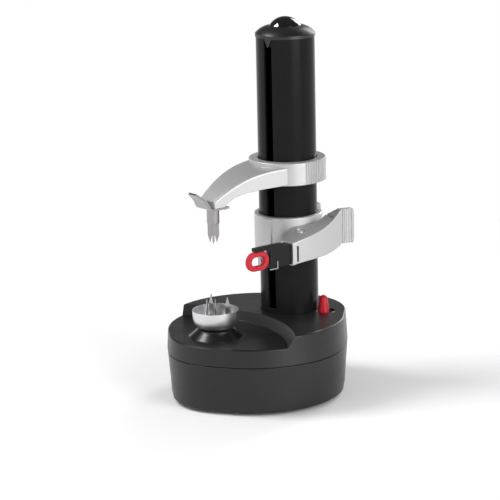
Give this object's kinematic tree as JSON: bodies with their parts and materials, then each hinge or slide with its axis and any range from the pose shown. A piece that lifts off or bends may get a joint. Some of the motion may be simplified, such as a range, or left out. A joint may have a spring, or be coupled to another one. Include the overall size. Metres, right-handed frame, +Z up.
{
  "type": "electric potato peeler",
  "caption": "Motor-driven peeler: a pronged cup turns the food while a geared lead screw lowers a sprung blade lever along a slotted tower; a sliding arm holds the food from above.",
  "frame": {"origin": "centre of the base's footprint, on the table", "axes": "+Z up, -Y towards the food cup, +Y towards the tower, +X towards the peel lever"},
  "size_m": [0.137, 0.1488, 0.2864],
  "materials": {
    "black_shell": "satin moulded black plastic",
    "black_tower": "satin-gloss black plastic",
    "black_dome": "high-gloss black plastic",
    "silver_paint": "satin silver-painted plastic",
    "cup_steel": "satin outside, polished inside",
    "polished_steel": "polished stainless steel",
    "plain_steel": "turned and rolled steel",
    "plated_steel": "nickel-plated steel",
    "red_guard": "semi-gloss coral red plastic",
    "red_switch": "semi-gloss crimson plastic",
    "black_part": "black moulded plastic",
    "gear_plastic": "natural white acetal",
    "frame_plastic": "dark grey moulded plastic",
    "bronze": "sintered bronze",
    "brass_part": "machined brass",
    "cell_jacket": "plain coloured cell jacket with a metal button",
    "motor_can": "plated motor can",
    "foot_rubber": "moulded black rubber"
  },
  "bodies": {
    "base": {"base_tub": "black_shell", "base_cover": "black_shell", "rubber_feet": "foot_rubber", "case_screws": "plain_steel", "battery_door": "black_shell", "door_screw": "plain_steel", "battery_tray": "frame_plastic", "battery_contacts": "plated_steel", "battery_springs": "plated_steel", "battery_cell_1": "cell_jacket", "battery_cell_2": "cell_jacket", "battery_cell_3": "cell_jacket", "battery_cell_4": "cell_jacket", "gearbox_lower_plate": "frame_plastic", "gearbox_upper_plate": "frame_plastic", "gearbox_posts": "frame_plastic", "gearbox_screws": "plain_steel", "drive_motor": "motor_can", "motor_screws": "plain_steel", "first_axle": "plain_steel", "axle_clip": "plain_steel", "second_axle": "plain_steel", "spindle_bushes": "bronze", "tower_tube": "black_tower", "tower_flange": "frame_plastic", "tower_screws": "plain_steel", "tower_cap": "black_tower", "top_dome": "black_dome", "screw_lower_bush": "bronze", "screw_upper_bush": "bronze", "slide_switch": "frame_plastic", "supply_socket": "black_part"},
    "spindle": {"spindle_gear": "gear_plastic", "food_spindle": "plain_steel", "food_cup": "cup_steel", "cup_prongs": "polished_steel"},
    "screw": {"lead_screw": "black_part", "screw_gear": "gear_plastic"},
    "second_wheel": {"second_gear": "gear_plastic"},
    "first_wheel": {"first_gear": "gear_plastic"},
    "rotor": {"motor_pinion": "brass_part"},
    "carriage": {"carriage_collar": "silver_paint", "screw_follower": "black_part", "pivot_pin": "plain_steel", "lever_spring": "plain_steel"},
    "lever": {"peel_lever": "silver_paint", "blade_holder": "black_part", "blade_guard": "red_guard", "peeling_blade": "polished_steel", "blade_retainer": "polished_steel"},
    "arm": {"upper_arm": "silver_paint", "finger_tab": "polished_steel", "tab_screws": "plain_steel", "arm_bush": "bronze"},
    "top_holder": {"upper_hub": "polished_steel", "hub_clip": "plain_steel", "upper_prongs": "polished_steel"},
    "switch": {"switch_knob": "red_switch"}
  },
  "joints": [
    {"name": "spindle_spin", "type": "hinge", "parent": "base", "child": "spindle", "pos_m": [0, -0.041, 0.0275], "axis": [0, 0, 1], "range_deg": [-810, 2430]},
    {"name": "screw_turn", "type": "hinge", "parent": "base", "child": "screw", "pos_m": [0, 0.032, 0.0275], "axis": [0, 0, 1], "range_deg": [-406, 1216]},
    {"name": "second_gear_spin", "type": "hinge", "parent": "base", "child": "second_wheel", "pos_m": [0, -0.012, 0.0275], "axis": [0, 0, 1], "range_deg": [-2604.57, 868.86]},
    {"name": "first_gear_spin", "type": "hinge", "parent": "base", "child": "first_wheel", "pos_m": [-0.0296, -0.01687, 0.034], "axis": [0, 0, 1], "range_deg": [-3472.43, 10415.29]},
    {"name": "motor_spin", "type": "hinge", "parent": "base", "child": "rotor", "pos_m": [-0.046, 0.002, 0.043], "axis": [0, 0, 1], "range_deg": [-41662.14, 13890.71]},
    {"name": "carriage_travel", "type": "slide", "parent": "base", "child": "carriage", "axis": [0, 0, 1], "range_m": [-0.02705, 0.00905]},
    {"name": "lever_swing", "type": "hinge", "parent": "carriage", "child": "lever", "pos_m": [0.03, 0.0185, 0.1144], "axis": [0, 0, 1], "range_deg": [-20, 12], "stiffness_Nm_per_rad": 0.02},
    {"name": "arm_slide", "type": "slide", "parent": "base", "child": "arm", "axis": [0, 0, 1], "range_m": [-0.011, 0.085]},
    {"name": "upper_spin", "type": "hinge", "parent": "arm", "child": "top_holder", "pos_m": [0, -0.041, 0.146], "axis": [0, 0, 1], "continuous": true},
    {"name": "switch_slide", "type": "slide", "parent": "base", "child": "switch", "axis": [0, 1, 0], "range_m": [0, 0.004]}
  ],
  "couplings": [
    {"joint": "screw_turn", "follows": "spindle_spin", "ratio": 0.5},
    {"joint": "second_gear_spin", "follows": "spindle_spin", "ratio": -1.0714},
    {"joint": "first_gear_spin", "follows": "spindle_spin", "ratio": 4.2857},
    {"joint": "motor_spin", "follows": "spindle_spin", "ratio": -17.143},
    {"joint": "carriage_travel", "follows": "spindle_spin", "m_per_rad": -0.00063662}
  ]
}
